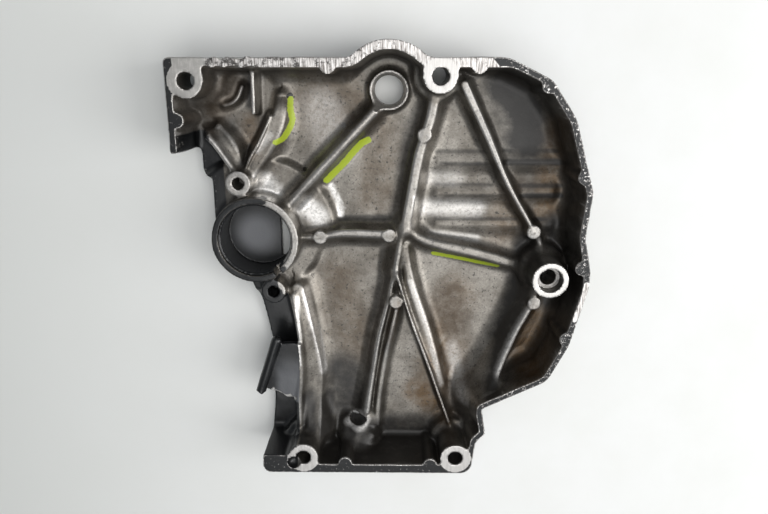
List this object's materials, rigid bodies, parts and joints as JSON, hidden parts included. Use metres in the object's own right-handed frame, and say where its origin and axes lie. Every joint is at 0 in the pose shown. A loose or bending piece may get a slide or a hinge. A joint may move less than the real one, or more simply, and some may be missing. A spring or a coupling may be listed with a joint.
{
  "type": "sprocket cover",
  "caption": "Die-cast aluminium cover for a motorcycle front sprocket, inside face up: machined rim, bolt bosses, stiffening ribs, clutch release bore and shift shaft hole.",
  "frame": {"origin": "middle of the overall length and width, on the outer face that the cover lies on", "axes": "+Z out of the mouth, square to the machined rim; +Y towards the shift shaft hole; +X towards the dowel boss"},
  "size_m": [0.1694, 0.1872, 0.028],
  "materials": {
    "cast_aluminium": "as-cast, oil stained inside, black paint outside"
  },
  "bodies": {
    "root": {"sprocket_cover": "cast_aluminium"}
  },
  "joints": []
}
